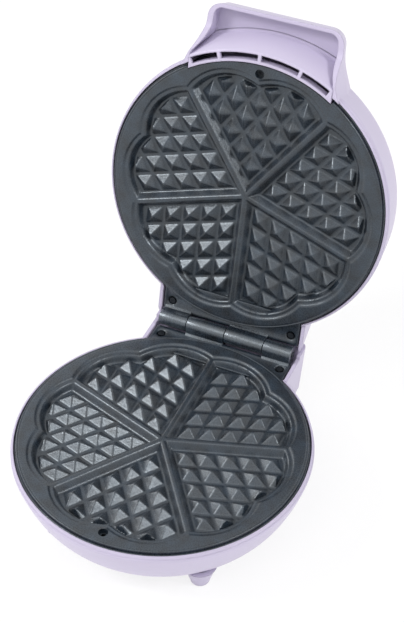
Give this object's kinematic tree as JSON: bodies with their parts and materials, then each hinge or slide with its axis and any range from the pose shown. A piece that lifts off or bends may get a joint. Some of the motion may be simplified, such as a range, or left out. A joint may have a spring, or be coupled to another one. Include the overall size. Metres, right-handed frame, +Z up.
{
  "type": "waffle maker",
  "caption": "Round heart waffle maker standing open on its rear hinge: non-stick waffle plates in lavender plastic shells, hooded handle with a vented cover, moulded feet.",
  "frame": {"origin": "on the table under the middle of the open object's box", "axes": "+X along the hinge, to the right of someone who faces the handle side; +Y from the front of the base to the hinge and on to the opened lid; +Z up"},
  "size_m": [0.2008, 0.2954, 0.2734],
  "materials": {
    "shell_plastic": "fine satin lavender plastic",
    "nonstick_plate": "die-cast aluminium with a dark grey non-stick coat",
    "plated_steel": "zinc-plated steel",
    "element_sheath": "heat-darkened steel sheath",
    "aluminised_sheet": "aluminised steel sheet",
    "ceramic": "glazed white ceramic",
    "grommet": "dark moulded rubber",
    "sleeving": "woven glass sleeving",
    "red_lens": "clear red plastic",
    "green_lens": "clear green plastic",
    "lamp_glass": "clear glass"
  },
  "bodies": {
    "base": {"base_shell": "shell_plastic", "lower_plate": "nonstick_plate", "lower_plate_screw_front": "plated_steel", "lower_plate_screw_left": "plated_steel", "lower_plate_screw_right": "plated_steel", "lower_element": "element_sheath", "lower_reflector": "aluminised_sheet", "lower_reflector_screw_front": "plated_steel", "lower_reflector_screw_left": "plated_steel", "lower_reflector_screw_right": "plated_steel", "thermostat": "ceramic", "thermostat_bracket": "plated_steel", "thermostat_screw_left": "plated_steel", "thermostat_screw_right": "plated_steel", "thermal_fuse": "ceramic", "fuse_clip": "plated_steel", "terminal_block": "ceramic", "live_lead": "sleeving", "fuse_lead": "sleeving", "element_lead": "sleeving", "neutral_lead": "sleeving", "cord_gland": "grommet", "hinge_pin": "plated_steel"},
    "lid": {"lid_shell": "shell_plastic", "handle_cover": "shell_plastic", "handle_cover_screw_left": "plated_steel", "handle_cover_screw_right": "plated_steel", "upper_plate": "nonstick_plate", "upper_plate_screw_front": "plated_steel", "upper_plate_screw_left": "plated_steel", "upper_plate_screw_right": "plated_steel", "upper_element": "element_sheath", "upper_reflector": "aluminised_sheet", "upper_reflector_screw_front": "plated_steel", "upper_reflector_screw_left": "plated_steel", "upper_reflector_screw_right": "plated_steel", "power_lamp_lens": "red_lens", "ready_lamp_lens": "green_lens", "power_glow_lamp": "lamp_glass", "ready_glow_lamp": "lamp_glass", "lamp_holder": "ceramic", "lamp_holder_screw": "plated_steel", "lamp_lead_left": "sleeving", "lamp_lead_right": "sleeving", "lamp_link": "sleeving"}
  },
  "joints": [
    {"name": "lid_hinge", "type": "hinge", "parent": "base", "child": "lid", "pos_m": [0, 0.05927, 0.057], "axis": [1, 0, 0], "range_deg": [0, 104.7]}
  ]
}
